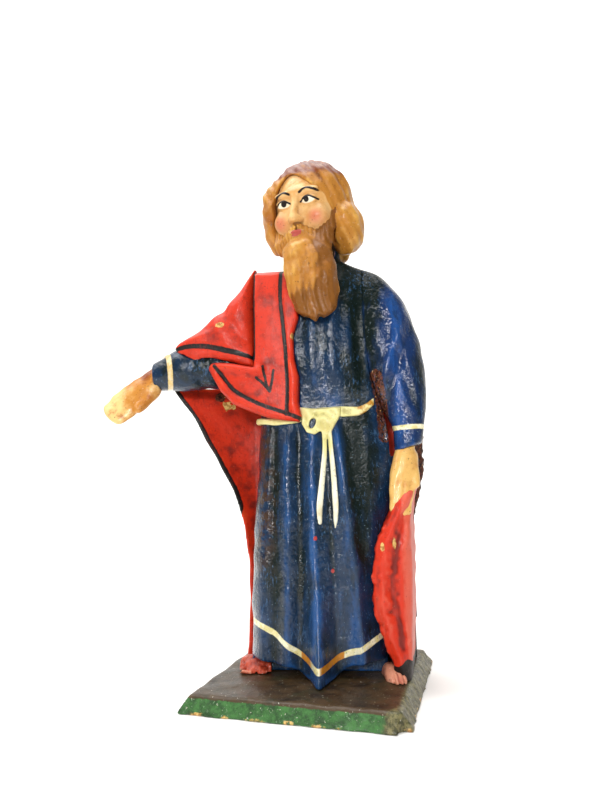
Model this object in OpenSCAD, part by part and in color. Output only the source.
// Carved and painted wooden figurine: a robed, bearded figure on a small bevelled base.
// Every piece is a separate block of wood, flat-jointed, pegged and glued to its neighbour.
// Pieces above the base are drawn in the figure's own frame: x to the figure's left, y to its back,
// z up from the top of the base. stance() then sets the figure on the base.

/* [Base] */
// Width of the base at its underside
base_w = 66; // [56:1:90]
// Depth of the base at its underside
base_d = 66; // [56:1:90]
// Thickness of the base board
base_t = 5; // [4:0.5:9]
// How far the bevel runs in from each edge
base_bevel = 3; // [1:0.5:5]

/* [Stance] */
// Turn of the figure on its base, in degrees
figure_turn = 10.5; // [-20:0.5:20]
// How far the figure stands behind the middle of the base
figure_back = 3; // [0:0.5:5]

/* [Tunic] */
// Height of the skirt, from the base to the belt
skirt_h = 79; // [60:1:95]
// Height of the torso, from the belt to the seat of the neck
torso_h = 50; // [42:1:60]
// Width of the skirt at the hem
skirt_w = 43; // [40:1:52]
// Width of the waist under the belt
waist_w = 37; // [34:1:44]
// Width across both shoulders of the tunic block
shoulder_w = 44; // [38:1:50]
// Depth of the tunic in front of the middle of the figure
front_d = 13; // [11:0.5:16]
// Depth of the tunic behind the middle, up to the flat joint with the cloak
back_d = 10; // [8:0.5:13]
// How far the middle of the hem stands out as a point
prow = 7; // [0:0.5:8]
// Depth of the carved flutes in the skirt, as a share of its radius
flute = 0.05; // [0:0.01:0.08]

/* [Belt] */
// Height of the belt
belt_h = 3.5; // [2:0.5:6]
// How far the belt and its bow stand out from the tunic
belt_t = 1.2; // [0.6:0.1:2]
// Length of the belt's two hanging tails
tail_l = 28; // [15:1:40]

/* [Head] */
// Height of the head, from the seat of the neck to the crown
head_h = 40; // [34:1:48]
// Width of the head with its hair
head_w = 34; // [28:1:40]
// Depth of the head with its hair
head_d = 30; // [25:1:36]
// Length of the beard below the seat of the neck
beard_l = 20; // [8:1:28]
// Width of the beard
beard_w = 19; // [12:1:24]
// Turn of the head to the figure's right, in degrees
head_turn = 20; // [0:1:35]

/* [Mantle] */
// Thickness of the mantle's front panel
panel_t = 5; // [3:0.5:7]
// Thickness of the cloak board in the middle of the back
cloak_t = 7; // [5:0.5:10]
// Thickness of the cloak board at its edges
cloak_edge = 3; // [2:0.5:4]
// How far the cloak's wing reaches out under the raised arm
wing_reach = 48; // [38:1:56]
// How far the mantle covers the raised arm
cape_reach = 50; // [40:1:58]

/* [Arms] */
// Length of the right forearm's sleeve that shows
sleeve_l = 32; // [26:1:40]
// Radius of the right sleeve at the cuff
cuff_r = 4.2; // [3.5:0.1:5.5]
// Length of each hand
hand_l = 20; // [15:1:26]
// Width of each hand
hand_w = 11; // [8:0.5:13]
// Thickness of each hand
hand_t = 6.5; // [5:0.5:8]
// Width of the left arm, measured out from its flat joint
arm_w = 18; // [15:0.5:22]
// Depth of the left arm
arm_d = 17; // [14:0.5:20]

/* [Feet] */
// Length of each foot that shows
foot_l = 12; // [9:0.5:15]
// Width of each foot
foot_w = 7; // [5:0.5:9]
// Height of each foot
foot_h = 4.5; // [3:0.5:6]

/* [Joinery] */
// Diameter of the main dowels
dowel_d = 5; // [4:0.5:6]
// Diameter of the small pegs
peg_d = 3; // [2:0.25:3.5]
// Glue gap around each dowel and peg, on the radius
glue_gap = 0.1; // [0.05:0.05:0.2]
// Shank diameter of the nails in the base
nail_d = 1.6; // [1.2:0.1:2.5]
// Length of each nail
nail_l = 18; // [12:1:24]

/* [Hidden] */

red = "#c8301e";
blue = "#1c2f55";
gold = "#cdb862";
skin = "#d9a25a";
hair = "#a9743a";
green = "#3f7a3c";
wood = "#c9a26b";

seg = 48;                            // points round a carved section
steps = 4;                           // rings between two rows of a section table
ample = 200;                         // longer than any piece, for cuts that run right out
belt_z = skirt_h;
chest_z = belt_z + belt_h;
neck_z = chest_z + torso_h;
shoulder_z = neck_z - 8;
crown_z = neck_z + head_h;
waist_x = waist_w / 2;
skirt_x = skirt_w / 2;
cape_x = -waist_x - 0.5;             // flat joint between the tunic and the raised arm
arm_x = waist_x - 0.5;               // flat joint between the tunic and the lowered arm
arm_low_z = belt_z - 9;              // lower end of the lowered arm's sleeve
rebate = 3.5;                        // how deep the mantle panel is let into the chest
rebate_y = -front_d + rebate;        // back of the mantle panel
saddle_z = neck_z - 12;              // underside of the mantle where it crosses the shoulder
sleeve_z = neck_z - 34;              // height of the raised sleeve at the shoulder end
sleeve_y = -3;
sleeve_tilt = 9;                     // fall of the raised sleeve, in degrees
sleeve_in = 22;                      // start of the sleeve, out from the middle of the figure
hand_tilt = 34;                      // fall of the raised hand, in degrees
side_x = skirt_x - 1;                // flat joint between the skirt and the mantle's side fold
side_top = arm_low_z - 10;

// The figure's own frame, set on the base.
module stance() translate([0, figure_back, base_t]) rotate(figure_turn) children();

// Rows eased from one to the next: a row's first number runs evenly, the others ease in and out.
function eased(a, b, t) = let (w = t * t * (3 - 2 * t))
    [for (i = [0 : len(a) - 1]) i == 0 ? a[0] + (b[0] - a[0]) * t : a[i] + (b[i] - a[i]) * w];
function rows(table) = [
    for (k = [0 : len(table) - 2], j = [0 : steps - 1]) eased(table[k], table[k + 1], j / steps),
    table[len(table) - 1]];

// One closed section: half-widths to each side, depths to the front and the back, and flutes.
function power(v) = sign(v) * pow(abs(v), 0.8);
function section(left, right, front, back, depth = 0, flutes = 9) = [
    for (i = [0 : seg - 1])
        let (a = 360 * i / seg, c = cos(a), s = sin(a), r = 1 + depth * cos(flutes * (a + 90)))
            [r * (c < 0 ? left : right) * power(c), r * (s < 0 ? front : back) * power(s)]];

// A solid through a list of rings of equal length, each a list of points in space.
function middle(ring) = [for (k = [0 : 2]) let (v = [for (p = ring) p[k]]) (min(v) + max(v)) / 2];
module loft(rings) {
    n = len(rings[0]);
    m = len(rings);
    points = [for (ring = rings) each ring, middle(rings[0]), middle(rings[m - 1])];
    faces = [
        for (i = [0 : n - 1]) let (j = (i + 1) % n) each concat(
            [[n * m, i, j], [n * m + 1, n * (m - 1) + j, n * (m - 1) + i]],
            [for (k = [0 : m - 2]) [n * k + i, n * (k + 1) + i, n * (k + 1) + j]],
            [for (k = [0 : m - 2]) [n * k + i, n * (k + 1) + j, n * k + j]])];
    polyhedron(points, faces);
}

// ---- Tunic: height, left, right, front, back, flute depth, prow ----
tunic_rows = [
    [0,            skirt_x,     skirt_x - 0.5,  front_d + 1, back_d + 3, flute,       prow],
    [skirt_h / 4,  skirt_x,     skirt_x - 0.5,  front_d + 1, back_d + 3, flute,       prow * 0.4],
    [skirt_h / 1.5, skirt_x - 1, skirt_x - 1,   front_d,     back_d + 2, flute,       0.5],
    [belt_z,       waist_x,     waist_x,        front_d - 1, back_d + 2, 0,           0],
    [chest_z,      waist_x,     waist_x,        front_d - 1, back_d + 2, 0,           0],
    [chest_z + 10, waist_x + 1, waist_x + 1,    front_d,     back_d + 2, 0,           0],
    [saddle_z,     waist_x + 1, waist_x + 2,    front_d - 1, back_d + 2, 0,           0],
    [shoulder_z,   shoulder_w / 2 - 3, shoulder_w / 2, front_d - 3, back_d, 0,        0],
    [neck_z - 3,   shoulder_w / 2 - 9, shoulder_w / 2 - 6, front_d - 5, back_d - 1, 0, 0],
    [neck_z,       8,           9,              front_d - 6, back_d - 2, 0,           0]];
prow_w = 6;
function prow_out(x, out) = out * exp(-pow(x / prow_w, 2));
function tunic_ring(r) = [for (p = section(r[1], r[2], r[3], r[4], r[5]))
    [p[0], p[1] - (p[1] < 0 ? prow_out(p[0], r[6]) : 0), r[0]]];
module tunic_solid() loft([for (r = rows(tunic_rows)) tunic_ring(r)]);

// Outline of the mantle's front panel, seen from the front: across and up.
panel_in = -5;                       // the panel's front edge
panel_low = chest_z + 0.5;           // the panel ends just above the belt
fold_tip = [-34, neck_z - 35];
module panel_outline() polygon([
    [panel_in - 3, neck_z + 1], [cape_x, neck_z + 1], [cape_x, neck_z - 32], fold_tip,
    [fold_tip[0] + 3, fold_tip[1] - 4], [cape_x - 2, panel_low + 4], [cape_x + 7, panel_low],
    [panel_in + 1, panel_low], [panel_in + 1, panel_low + 10], [panel_in, neck_z - 14]]);
// The mantle's side profile: a board down the chest and a saddle over the shoulder, back and up.
module mantle_profile(out) difference() {
    union() {
        translate([-front_d - out, 0]) square([front_d + out + back_d, neck_z - 6]);
        translate([-front_d - out + 6, 0]) square([front_d + out + back_d - 6, neck_z + 1]);
        translate([-front_d - out + 6, neck_z - 5]) circle(r = 6, $fn = 32);
    }
    translate([rebate_y, -1]) square([ample, saddle_z + 1]);
}
module stand_up() rotate([90, 0, 0]) children();
module mantle_space(out) intersection() {
    stand_up() translate([0, 0, -back_d]) linear_extrude(ample) panel_outline();
    translate([-ample / 2, 0, 0]) rotate([90, 0, 90]) linear_extrude(ample) mantle_profile(out);
}

// Outline of the belt's bow and its two tails, seen from the front.
bow_x = 2;
bow_t = 1.5;
bow_z = belt_z + belt_h / 2 - 1;
module bow_outline() {
    difference() {
        union() {
            translate([bow_x, bow_z]) circle(r = 3, $fn = 32);
            translate([bow_x + 4, bow_z - 1]) circle(r = 4, $fn = 32);
        }
        translate([bow_x + 4.5, bow_z - 1]) circle(r = 1.5, $fn = 32);
    }
    polygon([[bow_x - 2, bow_z], [bow_x - 3, bow_z - tail_l + 5], [bow_x - 2, bow_z - tail_l + 2],
        [bow_x, bow_z - tail_l + 5], [bow_x + 1, bow_z - 8], [bow_x + 2, bow_z - tail_l + 3],
        [bow_x + 3.5, bow_z - tail_l], [bow_x + 5, bow_z - tail_l + 3], [bow_x + 2, bow_z]]);
}
bow_y = -front_d + 1 - belt_t;       // back of the bow, flat on the belt and let into the skirt
module bow_space(out) stand_up() translate([0, 0, -bow_y]) linear_extrude(out) bow_outline();

// ---- Joints: a dowel's place, and the hole that takes it ----
neck_dowel_l = 24;
base_dowel_l = base_t + 16;
arm_dowel_l = 16;
arm_dowel_z = neck_z - 18;
peg_l = 12;
arm_peg_zs = [neck_z - 16, neck_z - 34];
cloak_peg_zs = [neck_z - 30, skirt_h / 2];
mantle_peg_zs = [neck_z - 26, neck_z - 42];
nail_xs = [-10, 10];
wrist_l = 9;
head_x = 1;
head_y = -2;
side_peg_z = skirt_h * 0.4;
module pin_at(d, l, gap = 0) cylinder(r = d / 2 + gap, h = l, center = true, $fn = 48);
module neck_pin(gap = 0) translate([head_x, head_y + 2, neck_z]) pin_at(dowel_d, neck_dowel_l + gap, gap);
module base_pin(gap = 0) translate([0, 0, base_dowel_l / 2 - base_t])
    pin_at(dowel_d, base_dowel_l + gap, gap);
module cape_pin(gap = 0) translate([cape_x, 0, arm_dowel_z]) rotate([0, 90, 0])
    pin_at(dowel_d, arm_dowel_l + gap, gap);
module arm_pins(gap = 0) for (z = arm_peg_zs) translate([arm_x, -1, z]) rotate([0, 90, 0])
    pin_at(peg_d, peg_l + gap, gap);
module back_pins(gap = 0) for (z = cloak_peg_zs) translate([0, back_d - 1.5, z])
    rotate([90, 0, 0]) pin_at(peg_d, peg_l + gap, gap);
module side_pin(gap = 0) translate([side_x, 0, side_peg_z]) rotate([0, 90, 0])
    pin_at(peg_d, peg_l + gap, gap);
module panel_pins(gap = 0) for (z = mantle_peg_zs) translate([-10, rebate_y + 1.5, z])
    rotate([90, 0, 0]) pin_at(peg_d, peg_l - 1 + gap, gap);
nail_head_d = nail_d * 2.2;
nail_head_t = 0.8;
module nails(gap = 0) for (x = nail_xs) translate([x, 2, -base_t]) {
    cylinder(r = nail_d / 2 + gap, h = nail_l + gap, $fn = 24);
    translate([0, 0, -gap]) cylinder(r = nail_head_d / 2 + gap, h = nail_head_t + 2 * gap, $fn = 24);
}

// ---- Base ----
module base_block() color(green) difference() {
    hull() {
        translate([-base_w / 2, -base_d / 2, 0]) cube([base_w, base_d, 0.6]);
        translate([base_bevel - base_w / 2, base_bevel - base_d / 2, base_t - 0.6])
            cube([base_w - 2 * base_bevel, base_d - 2 * base_bevel, 0.6]);
    }
    stance() base_pin(glue_gap);
    stance() nails(glue_gap);
}

// ---- Tunic block ----
module tunic_body() stance() color(blue) difference() {
    tunic_solid();
    translate([-ample / 2, back_d, -1]) cube(ample);
    translate([arm_x, -ample / 2, arm_low_z]) cube(ample);
    translate([cape_x - ample, -ample / 2, belt_z + 4]) cube(ample);
    translate([side_x, -ample / 2, -1]) cube([ample, ample, arm_low_z + 2]);
    mantle_space(ample / 4);
    bow_space(ample);
    foot_space(-1);
    foot_space(1);
    neck_pin(glue_gap);
    base_pin(glue_gap);
    cape_pin(glue_gap);
    arm_pins(glue_gap);
    back_pins(glue_gap);
    side_pin(glue_gap);
    panel_pins(glue_gap);
    nails(glue_gap);
}

// ---- Head: height, left, right, front, back ----
head_x2 = head_w / 2;
head_y2 = head_d / 2;
head_rows = [
    [neck_z,                 head_x2 * 0.5,  head_x2 * 0.5,  head_y2 * 0.5,  head_y2 * 0.6],
    [neck_z + head_h * 0.12, head_x2 * 0.6,  head_x2 * 0.8,  head_y2 * 0.75, head_y2 * 0.9],
    [neck_z + head_h * 0.4,  head_x2,        head_x2,        head_y2,        head_y2],
    [neck_z + head_h * 0.68, head_x2 * 0.95, head_x2 * 0.9,  head_y2 * 0.9,  head_y2],
    [neck_z + head_h * 0.88, head_x2 * 0.7,  head_x2 * 0.7,  head_y2 * 0.6,  head_y2 * 0.8],
    [neck_z + head_h * 0.97, head_x2 * 0.4,  head_x2 * 0.4,  head_y2 * 0.4,  head_y2 * 0.5],
    [crown_z,                head_x2 * 0.1,  head_x2 * 0.1,  head_y2 * 0.1,  head_y2 * 0.1]];
panel_y = rebate_y - panel_t;        // face of the mantle's front panel
beard_y = panel_y - 0.1;             // flat back of the beard, just clear of the panel
module beard() intersection() {
    hull() {
        translate([head_x - 3, beard_y + 6, neck_z + head_h * 0.25])
            sphere(r = beard_w / 2, $fn = 20);
        translate([head_x - 2, beard_y, neck_z - 2]) scale([1, 0.5, 1])
            sphere(r = beard_w / 2, $fn = 20);
        translate([head_x - 1, beard_y, neck_z - beard_l + 3]) sphere(r = 3, $fn = 20);
    }
    union() {
        translate([-ample / 2, beard_y - ample, 0]) cube([ample, ample, ample]);
        translate([-ample / 2, -ample / 2, neck_z + 1.2]) cube([ample, ample, ample]);
    }
}
module head_block() stance() color(hair) difference() {
    union() {
        translate([head_x, head_y, 0]) rotate(-head_turn) loft([for (r = rows(head_rows))
            [for (p = section(r[1], r[2], r[3], r[4])) [p[0], p[1], r[0]]]]);
        beard();
    }
    neck_pin(glue_gap);
}

// ---- Mantle front, over the chest and the right shoulder ----
module mantle_front() stance() color(red) difference() {
    mantle_space(panel_t - rebate);
    translate([0, 0, neck_z]) cylinder(r = 9, h = 2, $fn = 48);
    translate([beard_w - ample, -ample / 2, neck_z]) cube(ample);
    panel_pins(glue_gap);
}

// ---- Mantle over the raised right arm: out, top, bottom, front, back ----
cape_rows = [
    [0,                neck_z - 3,  sleeve_z - 1, 12, back_d - 1],
    [cape_reach * 0.25, neck_z - 14, sleeve_z,    10, back_d - 2],
    [cape_reach * 0.45, neck_z - 22, sleeve_z + 1, 8, 6],
    [cape_reach + cape_x, neck_z - 27, sleeve_z + 2, 4, 3]];
function cape_ring(r) = let (up = (r[1] - r[2]) / 2, mid = (r[1] + r[2]) / 2)
    [for (p = section(up, up, r[3], r[4])) [cape_x - r[0], p[1], mid + p[0]]];
module sleeve_line() translate([-sleeve_in, sleeve_y, sleeve_z])
    rotate([0, -90 - sleeve_tilt, 0]) children();
module mantle_arm() stance() color(red) difference() {
    loft([for (r = rows(cape_rows)) cape_ring(r)]);
    sleeve_line() cylinder(r = sleeve_r + glue_gap, h = ample, $fn = 48);
    mantle_space(ample / 4);
    cape_pin(glue_gap);
}

// ---- Right forearm in its blue sleeve, and the hand pegged into the cuff ----
sleeve_r = cuff_r + 1.3;
module cuff_end() sleeve_line() translate([0, 0, sleeve_l]) children();
module hand_line() cuff_end() rotate([0, sleeve_tilt - hand_tilt, 0]) children();
module right_sleeve() stance() color(blue) difference() {
    sleeve_line() union() {
        cylinder(r = sleeve_r, h = sleeve_l - 8, $fn = 48);
        translate([0, 0, sleeve_l - 8]) cylinder(r1 = sleeve_r, r2 = cuff_r, h = 8, $fn = 48);
    }
    translate([cape_x, -ample / 2, 0]) cube(ample);
    wrist_pin_right(glue_gap);
}
module wrist_pin_right(gap = 0) cuff_end() pin_at(peg_d, wrist_l + gap, gap);
module hand_shape() hull() {
    translate([0, 0, 2]) cube([hand_t, hand_w * 0.6, 4], center = true);
    translate([0, 0, hand_l * 0.55]) scale([hand_t / hand_w, 1, 1.2]) sphere(d = hand_w, $fn = 20);
    translate([0, 0, hand_l - 2]) cube([hand_t * 0.6, hand_w * 0.7, 4], center = true);
}
module right_hand() stance() color(skin) difference() {
    hand_line() hand_shape();
    sleeve_line() translate([0, 0, -ample + sleeve_l]) cylinder(r = ample / 4, h = ample, $fn = 48);
    wrist_pin_right(glue_gap);
}

// ---- Left arm: a lowered sleeve with a flat inner face, and its hand ----
arm_rows = [
    [arm_low_z,       arm_w * 0.8,  arm_d * 0.38, -6],
    [arm_low_z + 8,   arm_w * 0.9,  arm_d * 0.42, -4],
    [neck_z - 34,     arm_w,        arm_d / 2,    -1],
    [neck_z - 20,     arm_w * 0.9,  arm_d / 2,    -1],
    [neck_z - 8,      arm_w * 0.6,  arm_d * 0.45, 0],
    [neck_z - 4,      arm_w * 0.25, arm_d * 0.25, 0]];
module left_arm() stance() color(blue) difference() {
    translate([arm_x, 0, 0]) loft([for (r = rows(arm_rows))
        [for (p = section(r[1] * 0.3, r[1], r[2], r[2])) [p[0], p[1] + r[3], r[0]]]]);
    translate([arm_x - ample, -ample / 2, 0]) cube(ample);
    translate([-ample / 2, back_d, 0]) cube(ample);
    arm_pins(glue_gap);
    wrist_pin_left(glue_gap);
}
hand_x = arm_x + arm_w * 0.58;
hand_y = -8;
module wrist_pin_left(gap = 0) translate([hand_x, hand_y, arm_low_z])
    pin_at(peg_d, wrist_l + gap, gap);
module left_hand() stance() color(skin) difference() {
    translate([hand_x, hand_y, arm_low_z]) rotate([180, 0, 0]) rotate(90) hand_shape();
    translate([-ample / 2, -ample / 2, arm_low_z]) cube(ample);
    wrist_pin_left(glue_gap);
}

// ---- Cloak board on the back: height, edge to the right with the wing, edge to the left ----
arm_under = sleeve_z - 5;
side_edge = arm_x + arm_w - 5;       // the board's plain edge, below the lowered arm
cloak_rows = [
    [0,              24,                side_edge,      1],
    [skirt_h * 0.3,  23,                side_edge,      1],
    [skirt_h * 0.55, 25,                side_edge + 1,  2],
    [skirt_h * 0.75, wing_reach * 0.65, side_edge + 4,  6],
    [skirt_h * 0.95, wing_reach * 0.88, side_edge + 6,  9],
    [arm_under,      wing_reach,        side_edge + 6,  11],
    [arm_under + 6,  waist_x + 16,      side_edge + 5,  9],
    [shoulder_z - 2, waist_x + 4,       side_edge - 4,  2],
    [neck_z + 1,     10,                11,             0]];
wing_from = -(skirt_x + 2);          // where the wing starts to sweep forward
across = 11;                         // points along each face of the board
function sweep(x, out, reach) = x > wing_from ? 0 :
    out * pow((wing_from - x) / max(1, reach + wing_from), 1.5);
function cloak_x(r, i) = -r[1] + (r[1] + r[2]) * i / across;
function cloak_bulge(u) = cloak_edge + (cloak_t - cloak_edge) * pow(sin(180 * u), 0.6);
function cloak_ring(r) = concat(
    [for (i = [0 : across]) let (x = cloak_x(r, i)) [x, back_d - sweep(x, r[3], r[1]), r[0]]],
    [for (i = [across : -1 : 0]) let (x = cloak_x(r, i))
        [x, back_d - sweep(x, r[3], r[1]) + cloak_bulge(i / across), r[0]]]);
module cloak_board() stance() color(red) difference() {
    loft([for (r = rows(cloak_rows)) cloak_ring(r)]);
    back_pins(glue_gap);
    mantle_space(0);
    sleeve_line() cylinder(r = sleeve_r + 0.3, h = ample, $fn = 48);
    intersection() {
        translate([cape_x - ample, -ample / 2, arm_under + 2]) cube(ample);
        translate([-ample, -ample, 0]) cube([ample + cape_x, ample + back_d, ample]);
    }
}

// ---- Side fold of the mantle, held by the left hand: height, width, front ----
side_rows = [
    [0,              8,  13],
    [side_top * 0.5, 10, 12],
    [side_top - 8,   12, 9],
    [side_top,       10, 5]];
module mantle_side() stance() color(red) difference() {
    translate([side_x, 0, 0]) loft([for (r = rows(side_rows))
        [for (p = section(r[1], r[1], r[2], back_d + 3, 0.03, 7)) [p[0], p[1], r[0]]]]);
    translate([side_x - ample, -ample / 2, -1]) cube(ample);
    translate([-ample / 2, back_d, -1]) cube(ample);
    foot_space(1);
    side_pin(glue_gap);
    translate([hand_x, hand_y, arm_low_z]) rotate([180, 0, 0]) rotate(90) hand_shape();
}

// ---- Feet, let in under the hem ----
foot_x = skirt_x - 1;
foot_out = 12;                       // each foot turns out by this many degrees
function foot_y(side) = -front_d + (side < 0 ? 7 : 3);
module foot_at(side) translate([side * foot_x, foot_y(side), 0]) rotate(side * foot_out)
    children();
module foot_space(side) foot_at(side)
    translate([0, 0, -1]) linear_extrude(foot_h + 1.3) square([foot_w + 0.4, foot_l * 1.2], center = true);
module foot(side) stance() color(skin) foot_at(side) hull() {
    translate([0, foot_l * 0.3, 0.5]) cube([foot_w, foot_l * 0.4, 1], center = true);
    translate([0, foot_l * 0.3, foot_h - 1]) cube([foot_w * 0.8, foot_l * 0.3, 2], center = true);
    translate([0, -foot_l * 0.5, 0]) cylinder(r = foot_w / 2, h = foot_h * 0.4, $fn = 24);
}

// ---- Belt: a low band round the front of the waist, with its bow ----
function belt_ring(out, z) = [for (p = section(waist_x + out, waist_x + out, front_d - 1 + out,
    back_d + 2 + out)) [p[0], p[1], z]];
module belt_band() stance() color(gold) difference() {
    loft([belt_ring(belt_t, belt_z), belt_ring(belt_t, chest_z)]);
    loft([belt_ring(0, belt_z - 1), belt_ring(0, chest_z + 1)]);
    translate([-ample / 2, 2, 0]) cube(ample);
    translate([arm_x - 1, -ample / 2, 0]) cube(ample);
}
module belt_bow() stance() color(gold) bow_space(bow_t);

// ---- Dowels, pegs and nails ----
module neck_dowel() stance() color(wood) neck_pin();
module base_dowel() stance() color(wood) base_pin();
module base_nails() stance() color("#5a5550") nails();
module right_arm_dowel() stance() color(wood) cape_pin();
module left_arm_pegs() stance() color(wood) arm_pins();
module cloak_pegs() stance() color(wood) back_pins();
module mantle_pegs() stance() color(wood) panel_pins();
module side_peg() stance() color(wood) side_pin();
module wrist_pegs() stance() color(wood) {
    wrist_pin_right();
    wrist_pin_left();
}

base_block();
tunic_body();
head_block();
mantle_front();
mantle_arm();
cloak_board();
mantle_side();
right_sleeve();
right_hand();
left_arm();
left_hand();
foot(-1);  // right_foot
foot(1);  // left_foot
belt_band();
belt_bow();
neck_dowel();
base_dowel();
base_nails();
right_arm_dowel();
left_arm_pegs();
cloak_pegs();
mantle_pegs();
side_peg();
wrist_pegs();
